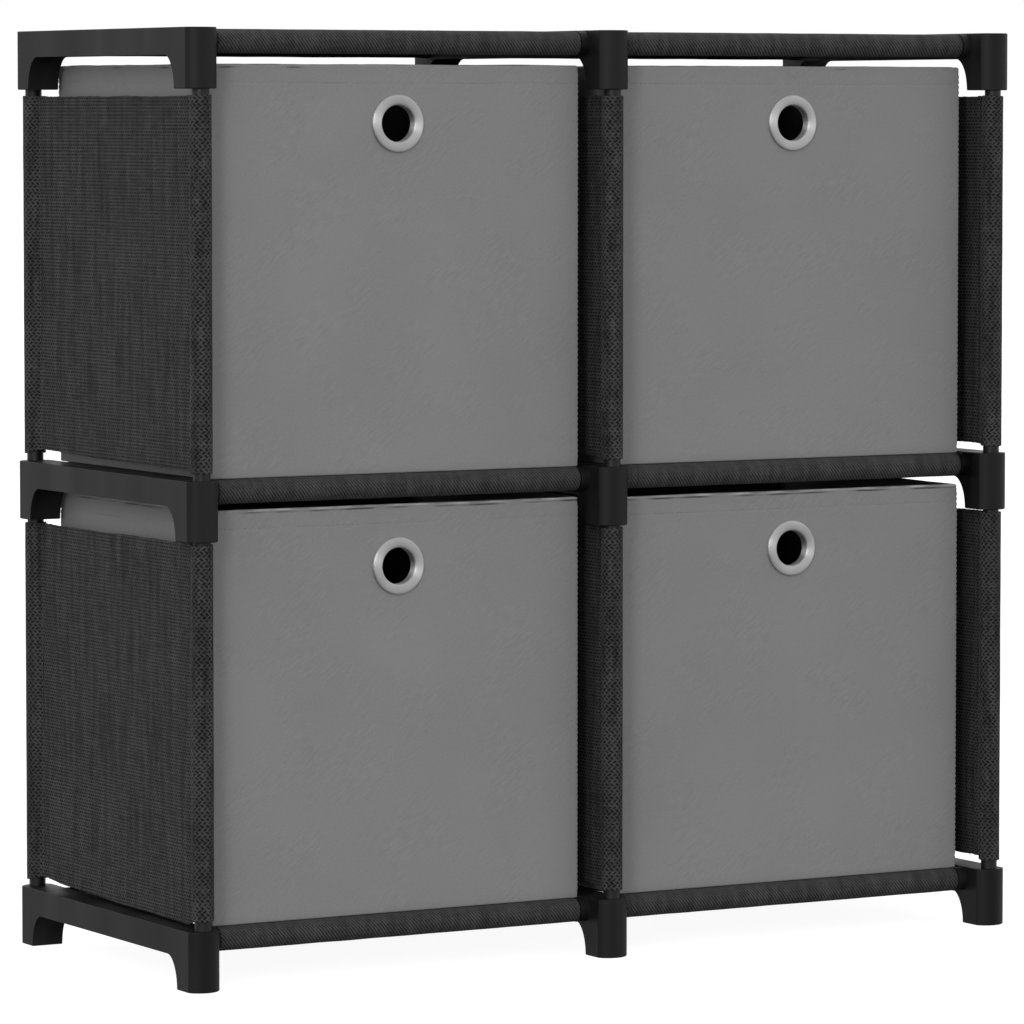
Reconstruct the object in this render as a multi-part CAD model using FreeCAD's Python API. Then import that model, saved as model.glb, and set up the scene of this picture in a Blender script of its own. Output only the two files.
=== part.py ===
import FreeCAD, Part
import math
import os

# Cube storage unit: a rack of moulded side brackets, steel tubes and sleeved fabric panels,
# two cells wide and two cells high, with one pull-out fabric box in each cell.
# Millimetres, +Z up, +X to the right seen from the front, front towards -Y.
# The origin is on the floor at the centre of the rack.

# Rack: driving dimensions
column_pitch = 358.0
level_pitch = 339.5
rack_depth = 312.0
bracket_height = 46.0
bracket_width = 26.2
bar_height = 20.4
leg_length = 27.0
arch_corner_length = 16.5
crown_radius = 15.0
corner_radius = 3.0
edge_radius = 0.8
foot_chamfer = 0.6
bar_skin = 2.6
rib_thickness = 2.4
pocket_count = 6

# Tubes and the sockets they push into
tube_radius = 6.5
tube_wall = 0.9
socket_clearance = 0.1
upright_setback = 9.0
upright_socket_depth = 20.0
rail_setback = 30.0
rail_drop = bar_height / 2
rail_socket_depth = 17.5
boss_radius = 9.5
boss_length = 7.5
socket_floor_gap = 0.5

# Fabric panels with a sewn sleeve along two edges
fabric_thickness = 1.0
panel_sleeve_radius = 8.4
panel_gap_above = 5.0
panel_gap_below = 6.5
shelf_sleeve_radius = 9.2
shelf_end_gap = 0.8

# Pull-out fabric box
box_width = 321.0
box_depth = 266.0
box_height = 313.0
box_front_setback = 30.0
box_lift = 0.3
cover_thickness = 1.2
board_thickness = 2.4
lining_thickness = 1.0
rim_height = 5.0
base_board_thickness = 3.0
base_board_side_gap = 1.6
base_board_gap = 0.2

# Two-piece metal eyelet in each box front
eyelet_drop = 45.0
eyelet_flange_radius = 22.2
eyelet_bore_radius = 14.2
eyelet_barrel_radius = 15.9
eyelet_flange_height = 2.2
eyelet_lip_height = 0.6
washer_radius = 20.5
washer_height = 1.2
wall_hole_radius = 16.0

columns = {"left": -column_pitch, "centre": 0.0, "right": column_pitch}
levels = {"bottom": 0.0, "middle": level_pitch, "top": 2 * level_pitch}
bays = {"left": -column_pitch / 2, "right": column_pitch / 2}
storeys = {"lower": 0.0, "upper": level_pitch}

half_depth = rack_depth / 2
half_width = bracket_width / 2
arch_height = bracket_height - bar_height
leg_inner = half_depth - leg_length
upright_y = half_depth - upright_setback
rail_y = half_depth - rail_setback
socket_radius = tube_radius + socket_clearance
wall_thickness = cover_thickness + board_thickness + lining_thickness


def vec(x, y, z):
    return FreeCAD.Vector(x, y, z)


def block(x0, x1, y0, y1, z0, z1):
    return Part.makeBox(x1 - x0, y1 - y0, z1 - z0, vec(x0, y0, z0))


def rod(radius, base, direction, length):
    return Part.makeCylinder(radius, length, base, direction)


def pipe(outer, inner, base, direction, length):
    return rod(outer, base, direction, length).cut(rod(inner, base, direction, length))


def write(node, shape):
    shape.exportStep("parts/" + node + ".step")


# Brackets ---------------------------------------------------------------

def bracket_outline():
    """Plan outline: straight sides and a crowned, round-cornered end at the front and rear."""
    crown_y = half_depth - crown_radius
    corner_x = half_width - corner_radius
    corner_y = crown_y + math.sqrt((crown_radius - corner_radius) ** 2 - corner_x ** 2)
    turn = math.atan2(corner_y - crown_y, corner_x)
    edges = []
    for sign in (1, -1):
        def corner(angle):
            return vec(
                sign * (corner_x + corner_radius * math.cos(angle)),
                sign * (corner_y + corner_radius * math.sin(angle)), 0)

        def crown(angle):
            return vec(
                sign * crown_radius * math.cos(angle),
                sign * (crown_y + crown_radius * math.sin(angle)), 0)

        def far_corner(angle):
            return vec(
                -sign * (corner_x + corner_radius * math.cos(angle)),
                sign * (corner_y + corner_radius * math.sin(angle)), 0)

        side_start = vec(sign * half_width, -sign * corner_y, 0)
        edges.append(Part.LineSegment(side_start, corner(0)).toShape())
        edges.append(Part.Arc(corner(0), corner(turn / 2), corner(turn)).toShape())
        edges.append(Part.Arc(crown(turn), crown(math.pi / 2), crown(math.pi - turn)).toShape())
        edges.append(Part.Arc(far_corner(turn), far_corner(turn / 2), far_corner(0)).toShape())
    return Part.Wire(edges)


def arch_space():
    """The opening under the bar, with a quarter ellipse in each upper corner."""
    spring = leg_inner - arch_corner_length
    x0 = -bracket_width
    edges = []
    for sign in (1, -1):
        crown = vec(x0, sign * spring, arch_height)
        foot = vec(x0, sign * leg_inner, 0)
        ellipse = Part.Ellipse(crown, foot, vec(x0, sign * spring, 0))
        edges.append(Part.ArcOfEllipse(ellipse, 0, math.pi / 2).toShape())
    top = Part.LineSegment(vec(x0, -spring, arch_height), vec(x0, spring, arch_height))
    base = Part.LineSegment(vec(x0, -leg_inner, 0), vec(x0, leg_inner, 0))
    outline = Part.Wire(Part.__sortEdges__(edges + [top.toShape(), base.toShape()]))
    return Part.Face(outline).extrude(vec(2 * bracket_width, 0, 0))


def bar_pockets():
    """Moulding pockets in the bar's underside, with cross ribs between them."""
    reach = leg_inner - arch_corner_length - rib_thickness
    pocket_length = (2 * reach - (pocket_count - 1) * rib_thickness) / pocket_count
    side = half_width - bar_skin
    pockets = []
    for index in range(pocket_count):
        y0 = -reach + index * (pocket_length + rib_thickness)
        pockets.append(block(
            -side, side, y0, y0 + pocket_length, arch_height - 1, bracket_height - bar_skin))
    return pockets


def bracket(column, level):
    body = Part.Face(bracket_outline()).extrude(vec(0, 0, bracket_height))
    top_edges = [edge for edge in body.Edges if edge.BoundBox.ZMin > bracket_height - 0.01]
    body = body.makeFillet(edge_radius, top_edges)
    foot_edges = [edge for edge in body.Edges if edge.BoundBox.ZMax < 0.01]
    body = body.makeChamfer(foot_chamfer, foot_edges)
    body = body.cut(arch_space())

    rail_z = bracket_height - rail_drop
    boss_sides = {"left": (1,), "centre": (1, -1), "right": (-1,)}[column]
    sockets = bar_pockets()
    for end in (1, -1):
        if level != "top":
            sockets.append(rod(
                socket_radius, vec(0, end * upright_y, bracket_height + 1), vec(0, 0, -1),
                upright_socket_depth + 1))
        if level != "bottom":
            sockets.append(rod(
                socket_radius, vec(0, end * upright_y, -1), vec(0, 0, 1),
                upright_socket_depth + 1))
        for side in boss_sides:
            outward = vec(side, 0, 0)
            boss_base = vec(side * (half_width - 1), end * rail_y, rail_z)
            body = body.fuse(rod(boss_radius, boss_base, outward, boss_length + 1))
            mouth = vec(side * (half_width + boss_length + 1), end * rail_y, rail_z)
            sockets.append(rod(socket_radius, mouth, outward * -1, rail_socket_depth + 1))
    for socket in sockets:
        body = body.cut(socket)
    body = body.removeSplitter()
    body.translate(vec(columns[column], 0, levels[level]))
    return body


# Tubes ------------------------------------------------------------------

def uprights(column, storey):
    reach = upright_socket_depth - socket_floor_gap
    base_z = storeys[storey] + bracket_height - reach
    length = level_pitch - bracket_height + 2 * reach
    tubes = []
    for end in (-1, 1):
        base = vec(columns[column], end * upright_y, base_z)
        tubes.append(pipe(tube_radius, tube_radius - tube_wall, base, vec(0, 0, 1), length))
    return Part.makeCompound(tubes)


def rails(bay, level):
    socket_floor = half_width + boss_length - rail_socket_depth
    half_length = column_pitch / 2 - socket_floor - socket_floor_gap
    rail_z = levels[level] + bracket_height - rail_drop
    tubes = []
    for end in (-1, 1):
        base = vec(bays[bay] - half_length, end * rail_y, rail_z)
        tubes.append(
            pipe(tube_radius, tube_radius - tube_wall, base, vec(1, 0, 0), 2 * half_length))
    return Part.makeCompound(tubes)


# Fabric panels ----------------------------------------------------------

def side_panel(column, storey):
    """One sheet in the uprights' mid-plane, ending in a sleeve on each upright."""
    x = columns[column]
    z0 = storeys[storey] + bracket_height + panel_gap_below
    z1 = storeys[storey] + level_pitch - panel_gap_above
    half = fabric_thickness / 2
    inner = panel_sleeve_radius - fabric_thickness
    body = block(x - half, x + half, -upright_y, upright_y, z0, z1)
    for end in (-1, 1):
        base = vec(x, end * upright_y, z0)
        body = body.fuse(rod(panel_sleeve_radius, base, vec(0, 0, 1), z1 - z0))
    for end in (-1, 1):
        base = vec(x, end * upright_y, z0 - 1)
        body = body.cut(rod(inner, base, vec(0, 0, 1), z1 - z0 + 2))
    return body.removeSplitter()


def shelf(bay, level):
    """One sheet stretched over the tops of two rails, ending in a sleeve on each rail."""
    half_length = column_pitch / 2 - half_width - boss_length - shelf_end_gap
    x0 = bays[bay] - half_length
    x1 = bays[bay] + half_length
    rail_z = levels[level] + bracket_height - rail_drop
    top_z = rail_z + shelf_sleeve_radius
    inner = shelf_sleeve_radius - fabric_thickness
    body = block(x0, x1, -rail_y, rail_y, top_z - fabric_thickness, top_z)
    for end in (-1, 1):
        base = vec(x0, end * rail_y, rail_z)
        body = body.fuse(rod(shelf_sleeve_radius, base, vec(1, 0, 0), x1 - x0))
    for end in (-1, 1):
        base = vec(x0 - 1, end * rail_y, rail_z)
        body = body.cut(rod(inner, base, vec(1, 0, 0), x1 - x0 + 2))
    return body.removeSplitter()


# Boxes ------------------------------------------------------------------

def box_corner(bay, storey):
    """Lowest left front corner of a box."""
    shelf_top = storeys[storey] + bracket_height - rail_drop + shelf_sleeve_radius
    return vec(
        bays[bay] - box_width / 2, -half_depth + box_front_setback, shelf_top + box_lift)


def inset_block(inset, z0, z1):
    return block(inset, box_width - inset, inset, box_depth - inset, z0, z1)


def wall_hole(y0, y1):
    """Space of the round hole for the eyelet, through the front wall."""
    centre = vec(box_width / 2, y0, box_height - eyelet_drop)
    return rod(wall_hole_radius, centre, vec(0, 1, 0), y1 - y0)


def box_cover():
    """Outer fabric: floor, four walls and the rim that closes over the boards."""
    board_inset = cover_thickness + board_thickness
    body = inset_block(0, 0, box_height)
    body = body.cut(inset_block(cover_thickness, cover_thickness, box_height - rim_height))
    body = body.cut(inset_block(board_inset, cover_thickness, box_height + 1))
    return body.cut(wall_hole(-1, wall_thickness + 1))


def box_lining():
    """Inner fabric: floor and four walls, up to the rim."""
    board_inset = cover_thickness + board_thickness
    body = inset_block(board_inset, cover_thickness, box_height)
    inner = inset_block(wall_thickness, cover_thickness + lining_thickness, box_height + 1)
    body = body.cut(inner)
    return body.cut(wall_hole(-1, wall_thickness + 1))


def box_wall_boards():
    """Four stiff boards sealed between cover and lining."""
    outer = cover_thickness
    inner = cover_thickness + board_thickness
    z0 = cover_thickness
    z1 = box_height - rim_height
    front = block(outer, box_width - outer, outer, inner, z0, z1)
    front = front.cut(wall_hole(-1, wall_thickness + 1))
    rear = block(outer, box_width - outer, box_depth - inner, box_depth - outer, z0, z1)
    left = block(outer, inner, inner, box_depth - inner, z0, z1)
    right = block(box_width - inner, box_width - outer, inner, box_depth - inner, z0, z1)
    return Part.makeCompound([front, rear, left, right])


def box_base_board():
    """Loose stiffener that lies on the box floor and lifts out."""
    inset = wall_thickness + base_board_side_gap
    z0 = cover_thickness + lining_thickness + base_board_gap
    return inset_block(inset, z0, z0 + base_board_thickness)


def box_eyelet():
    """Domed flange and barrel, turned about the hole's axis."""
    depth = wall_thickness + washer_height
    crown_radius = (eyelet_flange_radius + eyelet_bore_radius) / 2
    points = [
        vec(eyelet_bore_radius, depth, 0),
        vec(eyelet_bore_radius, -eyelet_lip_height, 0),
        vec(crown_radius, -eyelet_flange_height, 0),
        vec(eyelet_flange_radius, 0, 0),
        vec(eyelet_barrel_radius, 0, 0),
        vec(eyelet_barrel_radius, depth, 0),
    ]
    edges = [
        Part.LineSegment(points[0], points[1]).toShape(),
        Part.Arc(points[1], points[2], points[3]).toShape(),
        Part.LineSegment(points[3], points[4]).toShape(),
        Part.LineSegment(points[4], points[5]).toShape(),
        Part.LineSegment(points[5], points[0]).toShape(),
    ]
    ring = Part.Face(Part.Wire(edges)).revolve(vec(0, 0, 0), vec(0, 1, 0), 360)
    ring.translate(vec(box_width / 2, 0, box_height - eyelet_drop))
    return ring


def box_eyelet_washer():
    """Flat ring on the inside, over which the barrel is set."""
    centre = vec(box_width / 2, wall_thickness, box_height - eyelet_drop)
    return pipe(washer_radius, eyelet_barrel_radius, centre, vec(0, 1, 0), washer_height)


def write_box(bay, storey):
    pieces = {
        "cover": box_cover(),
        "lining": box_lining(),
        "wall_boards": box_wall_boards(),
        "base_board": box_base_board(),
        "eyelet": box_eyelet(),
        "eyelet_washer": box_eyelet_washer(),
    }
    for piece, shape in pieces.items():
        shape.translate(box_corner(bay, storey))
        write("box_" + piece + "_" + bay + "_" + storey, shape)


os.makedirs("parts", exist_ok=True)

for column in columns:
    for level in levels:
        write("bracket_" + column + "_" + level, bracket(column, level))
    for storey in storeys:
        write("uprights_" + column + "_" + storey, uprights(column, storey))
        write("side_panel_" + column + "_" + storey, side_panel(column, storey))

for bay in bays:
    for level in levels:
        write("rails_" + bay + "_" + level, rails(bay, level))
        write("shelf_" + bay + "_" + level, shelf(bay, level))
    for storey in storeys:
        write_box(bay, storey)
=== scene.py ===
import math

import bpy
import numpy as np
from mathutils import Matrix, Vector, noise


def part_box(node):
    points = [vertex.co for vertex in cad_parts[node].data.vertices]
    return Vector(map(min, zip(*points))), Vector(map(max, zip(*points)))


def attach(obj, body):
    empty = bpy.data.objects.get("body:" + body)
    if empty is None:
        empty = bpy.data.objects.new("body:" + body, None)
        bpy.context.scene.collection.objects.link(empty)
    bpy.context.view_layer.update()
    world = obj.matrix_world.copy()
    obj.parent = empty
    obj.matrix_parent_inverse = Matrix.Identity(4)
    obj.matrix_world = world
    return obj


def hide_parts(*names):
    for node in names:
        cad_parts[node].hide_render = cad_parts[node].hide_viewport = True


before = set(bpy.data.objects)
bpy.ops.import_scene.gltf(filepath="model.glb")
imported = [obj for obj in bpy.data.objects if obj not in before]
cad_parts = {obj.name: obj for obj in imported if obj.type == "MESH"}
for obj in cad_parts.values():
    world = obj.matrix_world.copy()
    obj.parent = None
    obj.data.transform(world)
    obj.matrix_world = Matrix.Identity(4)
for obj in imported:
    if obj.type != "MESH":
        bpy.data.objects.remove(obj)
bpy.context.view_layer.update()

# Looks of a cube storage unit: a rack of moulded brackets, steel tubes and sleeved fabric
# panels, with a pull-out fabric box in each cell. Metres, +Z up, front towards -Y.

MM = 0.001

COLUMNS = ("left", "centre", "right")
LEVELS = ("bottom", "middle", "top")
BAYS = ("left", "right")
STOREYS = ("lower", "upper")

# Cloth of the side panels and shelves, their sleeves and their cut edges
CLOTH_THICKNESS = 0.8 * MM
SEAM_AT = 1.45                    # distance of the seam from the tube's axis, in radii
SEAM_LAYER_GAP = 0.9 * MM
SEAM_MARGIN = 1.2 * MM            # from the seam to its stitches
FLAP_LENGTH = 8.0 * MM
CLOTH_STEP = 2.6 * MM
ROW_STEP = 9.0 * MM
ROWS_NEAR_EDGE = (0.0, 0.8 * MM, 2.2 * MM, 4.5 * MM, 9.0 * MM, 16.0 * MM)
SLEEVE_POINTS = 34
EDGE_DRIFT = 0.8 * MM
EDGE_SCALLOP = 0.45 * MM
OTHER_EDGE = 1.7                  # added to the seed, so that a panel's two edges differ

# Slack: how far into a panel its stray edges are felt, and how far its cloth stands out
PANEL_EDGE_REACH = 60.0 * MM
PANEL_WAVE = 1.6 * MM
PANEL_RIPPLE = 0.5 * MM
PANEL_SLEEVE_SLACK = 0.25 * MM
SHELF_EDGE_REACH = 12.0 * MM
SHELF_EDGE_SHARE = 0.6
SHELF_SAG = {"bottom": 1.2 * MM, "middle": 1.2 * MM, "top": 2.5 * MM}
SHELF_RIPPLE = 0.5 * MM
SHELF_SLEEVE_SLACK = 0.2 * MM

# How far the panels' cut edges stray from level, in mm, at shares of the way front to rear
LEFT_LOWER_EDGE = (
    (0.0, 0.04, 0.08, 0.5, 0.85, 0.95, 1.0), (1.2, 0.8, -4.5, -2.8, -0.4, 2.0, -1.5))
BOTTOM_EDGE = {
    "lower": ((0.0, 0.05, 0.12, 0.5, 0.95, 1.0), (0.8, 2.4, 2.0, 1.0, 1.4, -0.6)),
    "upper": ((0.0, 0.06, 0.5, 0.95, 1.0), (-0.8, 0.4, 1.0, 3.0, -0.8)),
}
TOP_EDGE = {
    "lower": ((0.0, 0.5, 1.0), (3.2, 2.2, 1.6)),
    "upper": ((0.0, 0.5, 1.0), (0.2, -0.6, 0.0)),
}

# Sewing thread
STITCH_PITCH = 4.2 * MM
STITCH_LENGTH = 3.0 * MM
STITCH_RADIUS = 0.32 * MM
STITCH_SIDES = 6
# The rings of a stitch: shares of the way along it, from its middle, and of its radius
STITCH_RINGS = ((-0.5, 0.0), (-0.42, 0.75), (0.0, 1.0), (0.42, 0.75), (0.5, 0.0))
PANEL_SEAM_END = 3.0 * MM         # from a panel's edge to its first stitch
CORNER_SEAM_END = 6.0 * MM

# Boxes
BOX_CELL = 6.0 * MM               # size of a wall's grid
BOX_CORNER_RADIUS = 1.5 * MM
CORNER_STEPS = 4
# Painted highlight: how pale the cover is painted along its rounded upright corners
CORNER_HIGHLIGHT = 0.22
FLOOR_RINGS = (12.0 * MM, 40.0 * MM, 80.0 * MM, 118.0 * MM)     # insets from the walls
COVER_THICKNESS = 0.8 * MM
COVER_EDGE_RADIUS = 1.2 * MM
HEM_AT = 14.0 * MM                # below the rim, like the crease
RIM_CREASE_AT = 2.8 * MM
RIM_WIDTH = 3.4 * MM
RIM_BEAD = 1.6 * MM
RIM_PAINTED_LIGHT = {"lower": 0.55, "upper": 0.1}             # how strongly its crest is painted pale as a highlight, up to 1, and its crease opened and painted dark
RIM_RISE = {"left": 2.6 * MM, "right": 1.2 * MM}     # of a lower box, above its CAD node
LINING_INSET = 4.1 * MM
LINING_FLOOR = 1.7 * MM
LINING_EDGE_RADIUS = 2.0 * MM
LINING_THICKNESS = 0.8 * MM
LINING_RISE = 0.1 * MM

# The eyelets, and the hole that each one is set in
FRONT_DEPTH = 20.0 * MM           # how far behind the front wall still counts as the front
WALL_ROW = 4                      # the first row of a box's walls above the rounded edge
HOLE_REACH = 27.0 * MM
HOLE_RADIUS = 16.0 * MM
HOLE_RINGS = (0.35, 0.7, 1.0)     # shares of the way from the window's frame to the hole
EYELET_CALM = 24.0 * MM           # the cloth is flat up to here, and free after the fade
EYELET_FADE = 14.0 * MM
EYELET_BORE = 14.2 * MM
EYELET_BARREL = 15.9 * MM
EYELET_TURNS = 96
# The flange in section: shares of the way from bore to edge, and of its height
FLANGE = (
    (0.0, 0.35), (0.02, 0.58), (0.07, 0.76), (0.16, 0.87), (0.30, 0.95), (0.45, 0.99), (0.60, 1.0),
    (0.75, 0.97), (0.87, 0.90), (0.94, 0.80), (0.98, 0.62), (1.0, 0.40), (1.0, 0.15), (0.99, 0.0))

# Base boards
BOARD_EDGE = 2.2 * MM
BOARD_BINDING = 9.0 * MM
BOARD_UNDERSIDE = (125.0 * MM, 60.0 * MM, 20.0 * MM)
BOARD_TOP = (20.0 * MM, 40.0 * MM, 60.0 * MM, 90.0 * MM, 125.0 * MM)
BOARD_DIP = 0.1 * MM              # how far the cloth on top lies below its binding

# Studio: metres, degrees and watts, with the sensor and lens in millimetres
FLOOR_RADIUS = 60.0
FLOOR_SIDES = 64
DIM_BELOW = -0.45                 # heights on the sphere of surroundings, from -1 to 1
WHITE_ABOVE = -0.06
DIM_LIGHT = 0.16
AIM = (0.0, 0.0, 0.36)
SOFTBOXES = (
    ("key_softbox", (-3.3, -3.3, 1.6), (0.9, 2.2), 57.0),
    ("fill_softbox", (3.3, -3.3, 1.8), (1.5, 2.8), 7.0))
SENSOR_WIDTH = 36.0
LENS = 198.5
LENS_SHIFT = -0.05
VIEW_DISTANCE = 200.0
CAMERA_AT = (-2.2523, -3.9260, 0.6623)
CAMERA_PITCH = 3.545              # down from level
CAMERA_YAW = 29.777               # right from straight ahead


# Node helpers ---------------------------------------------------------------

class Shading:
    """Builds the node tree of one material, from texture coordinates to the shader."""

    def __init__(self, name):
        self.material = bpy.data.materials.new(name)
        self.material.use_nodes = True
        self.tree = self.material.node_tree
        self.shader = self.tree.nodes["Principled BSDF"]

    def add(self, kind, **inputs):
        """A node with its inputs set from numbers, or linked from other nodes' outputs."""
        made = self.tree.nodes.new("ShaderNode" + kind)
        for key, value in inputs.items():
            self.put(made, key, value)
        return made

    def put(self, made, key, value):
        """Sets or links one input, given by its label, or by the letter i and its number."""
        numbered = key[0] == "i" and key[1:].isdigit()
        socket = made.inputs[int(key[1:]) if numbered else key]
        if isinstance(value, bpy.types.NodeSocket):
            self.tree.links.new(value, socket)
        else:
            socket.default_value = value

    def math(self, operation, first, second=0.0, third=0.0, clamp=False):
        made = self.add("Math", i0=first, i1=second, i2=third)
        made.operation = operation
        made.use_clamp = clamp
        return made.outputs[0]

    def noise(self, vector, scale, detail=2.0, roughness=0.5):
        made = self.add("TexNoise", Vector=vector, Scale=scale, Detail=detail, Roughness=roughness)
        return made.outputs["Fac"]

    def stretched(self, vector, scale):
        """The same coordinates, multiplied along each axis."""
        made = self.add("VectorMath", i0=vector, i1=scale)
        made.operation = "MULTIPLY"
        return made.outputs[0]

    def remap(self, value, low, high, to_low, to_high, smooth=False):
        made = self.add("MapRange", Value=value)
        made.interpolation_type = "SMOOTHSTEP" if smooth else "LINEAR"
        for key, number in zip(
                ("From Min", "From Max", "To Min", "To Max"), (low, high, to_low, to_high)):
            made.inputs[key].default_value = number
        return made.outputs["Result"]

    def blend(self, share, first, second):
        """Colour between two colours."""
        made = self.add("Mix")
        made.data_type = "RGBA"
        for index, value in ((0, share), (6, first), (7, second)):
            if isinstance(value, bpy.types.NodeSocket):
                self.tree.links.new(value, made.inputs[index])
            elif index:
                made.inputs[index].default_value = (*value, 1.0)
            else:
                made.inputs[index].default_value = value
        return made.outputs[2]

    def relief(self, height, distance, strength=1.0):
        made = self.add("Bump", Height=height, Distance=distance, Strength=strength)
        return made.outputs[0]

    def object_position(self):
        return self.add("TexCoord").outputs["Object"]

    def cloth_position(self):
        made = self.add("Attribute")
        made.attribute_name = "cloth"
        return made.outputs["Vector"]

    def finish(self, **shader_inputs):
        for key, value in shader_inputs.items():
            self.put(self.shader, key.replace("_", " "), value)
        return self.material


# Materials ------------------------------------------------------------------

def moulded_plastic():
    """Black moulded plastic: spark-eroded grain, faint flow marks and paler edges, part rubbed wear
    and part painted highlight.
    """
    s = Shading("moulded_plastic")
    place = s.object_position()
    grain = s.noise(place, 1500.0, 3.0)
    flow = s.noise(s.stretched(place, (26.0, 26.0, 3.0)), 1.0, 3.0)
    # Paler edges: rubbed wear in patches, and partly a painted highlight along the turned edges.
    bevel = s.add("Bevel", Radius=0.9 * MM)
    bevel.samples = 4
    turned = s.add("VectorMath", i0=bevel.outputs[0], i1=s.add("NewGeometry").outputs["Normal"])
    turned.operation = "DOT_PRODUCT"
    edge_light_mask = s.remap(turned.outputs["Value"], 0.98, 0.80, 0.0, 1.0)
    painted_edge_light = s.math("MULTIPLY", edge_light_mask, s.noise(place, 220.0, 3.0), clamp=True)
    tone = s.blend(
        s.remap(flow, 0.35, 0.65, 0.0, 1.0), (0.0010, 0.0010, 0.0011), (0.0105, 0.0105, 0.0107))
    colour = s.blend(painted_edge_light, tone, (0.018, 0.018, 0.019))
    rough = s.math("ADD", s.remap(flow, 0.3, 0.7, 0.40, 0.60), s.math("MULTIPLY", grain, 0.06))
    return s.finish(
        Base_Color=colour, Roughness=rough, IOR=1.5, Specular_IOR_Level=0.20,
        Normal=s.relief(grain, 0.06 * MM, 0.5))


def painted_steel():
    """Black powder-coated tube with a fine orange-peel surface."""
    s = Shading("painted_steel")
    place = s.object_position()
    peel = s.noise(place, 900.0, 2.0)
    patches = s.noise(place, 45.0, 3.0)
    colour = s.blend(patches, (0.004, 0.004, 0.0045), (0.009, 0.009, 0.0095))
    return s.finish(
        Base_Color=colour, Roughness=s.remap(patches, 0.3, 0.7, 0.34, 0.46), IOR=1.5,
        Specular_IOR_Level=0.28,
        Normal=s.relief(peel, 0.05 * MM, 0.6))


def mesh_cloth(name, cell, dark, light, diagonal, depth):
    """Black mesh cloth: staggered holes between yarns, in cells of the given width and height.

    Diagonal runs from 0, a plain net, to 1, a twill, and depth is how dark the holes are.
    The cloth's third coordinate is 1 where it hangs flat, and there the rows of holes close up
    into ribs.
    """
    s = Shading(name)
    cloth = s.cloth_position()
    drift = s.noise(cloth, 330.0, 4.0, 0.7)
    parts = s.add("SeparateXYZ", Vector=cloth)
    wander = s.math("MULTIPLY", s.math("SUBTRACT", drift, 0.5), 2.6)
    across = s.math("ADD", s.math("MULTIPLY", parts.outputs[0], math.tau / cell[0]), wander)
    up = s.math(
        "ADD", s.math("MULTIPLY", parts.outputs[1], math.tau / cell[1]),
        s.math("MULTIPLY", wander, 0.5))
    sway = s.math("MULTIPLY", s.math("SINE", up), 0.9 * (1.0 - diagonal))
    across = s.math("ADD", across, sway)
    rising = s.math("COSINE", s.math("ADD", across, up))
    falling = s.math("COSINE", s.math("SUBTRACT", across, up))
    rib = s.math("COSINE", s.math("MULTIPLY", up, 2.0))
    weave = s.math(
        "ADD", s.math("MULTIPLY", rising, 0.5 - diagonal / 2),
        s.math("MULTIPLY", falling, 0.5 + diagonal / 2))
    ribbed = s.remap(parts.outputs[2], 0.0, 1.0, 0.15, 1.0)
    ribbed = s.math("MULTIPLY", ribbed, 0.9 * (1.0 - diagonal))
    weave = s.math("ADD", weave, s.math("MULTIPLY", rib, ribbed))
    slub_up = s.noise(s.stretched(cloth, (150.0, 14.0, 1.0)), 1.0, 4.0, 0.6)
    slub_across = s.noise(s.stretched(cloth, (35.0, 420.0, 1.0)), 1.0, 2.0)
    slubs = s.math("ADD", s.math("MULTIPLY", slub_up, 0.7), s.math("MULTIPLY", slub_across, 0.3))
    blotch = s.noise(s.stretched(cloth, (190.0, 110.0, 1.0)), 1.0, 3.0, 0.6)
    openness = s.math("MULTIPLY", s.math("SUBTRACT", blotch, 0.5), 2.4)
    hole = s.remap(s.math("ADD", weave, openness), -0.3, 0.75, 0.0, depth, smooth=True)
    fibre = s.noise(cloth, 3200.0, 3.0, 0.7)
    tone = s.blend(s.remap(slubs, 0.37, 0.63, 0.0, 1.0), dark, light)
    colour = s.blend(hole, tone, (0.0020, 0.0020, 0.0022))
    height = s.math("ADD", s.math("MULTIPLY", hole, -1.0), s.math("MULTIPLY", fibre, 0.35))
    return s.finish(
        Base_Color=colour, Roughness=0.9, Specular_IOR_Level=0.15, Sheen_Weight=0.03,
        Normal=s.relief(height, 0.40 * MM, 0.6))


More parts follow.
